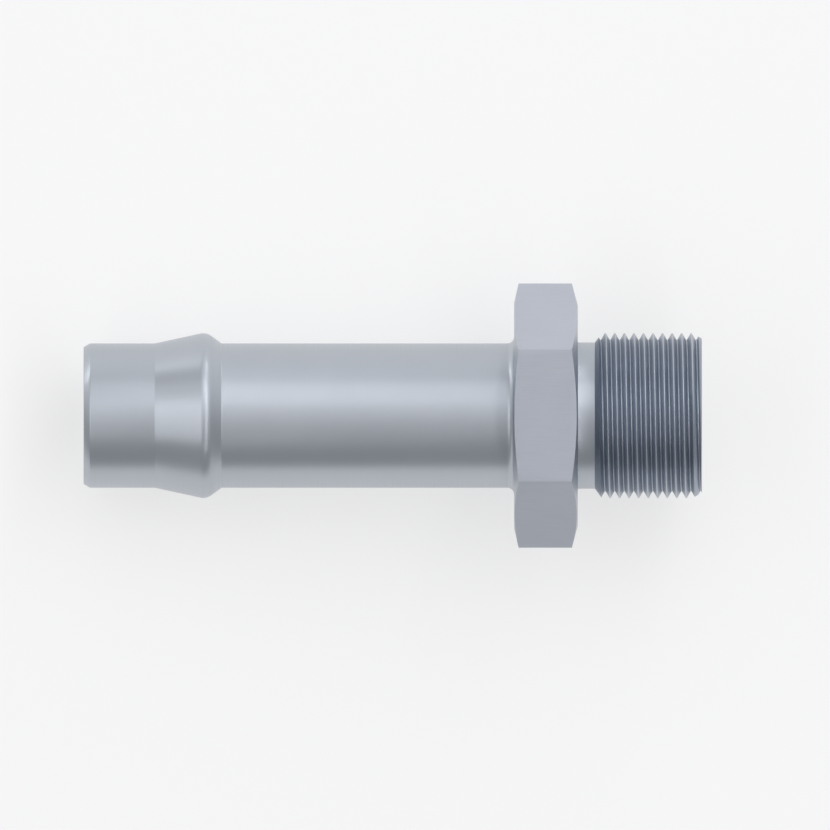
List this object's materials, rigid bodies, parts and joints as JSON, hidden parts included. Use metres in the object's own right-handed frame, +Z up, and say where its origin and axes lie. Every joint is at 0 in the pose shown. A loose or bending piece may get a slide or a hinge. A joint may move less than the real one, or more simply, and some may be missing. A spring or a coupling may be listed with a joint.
{
  "type": "hose barb tail",
  "caption": "Straight steel hose barb tail with a rounded barb, a wrench hexagon, a relief groove and a parallel male thread, bored through from end to end.",
  "frame": {"origin": "where the fitting's axis meets the hexagon's shoulder, the face that seats against a port", "axes": "the fitting lies at rest on the level, +Z up, with its axis in the XZ plane: the threaded end points to +X and the hose end to -X, lower by the rest tilt of 5.88 degrees. Two corners of the hexagon point along Y."},
  "size_m": [0.099, 0.0416, 0.037],
  "materials": {
    "steel": "satin turned steel, bluish grey"
  },
  "bodies": {
    "root": {"hose_barb_tail": "steel"}
  },
  "joints": []
}
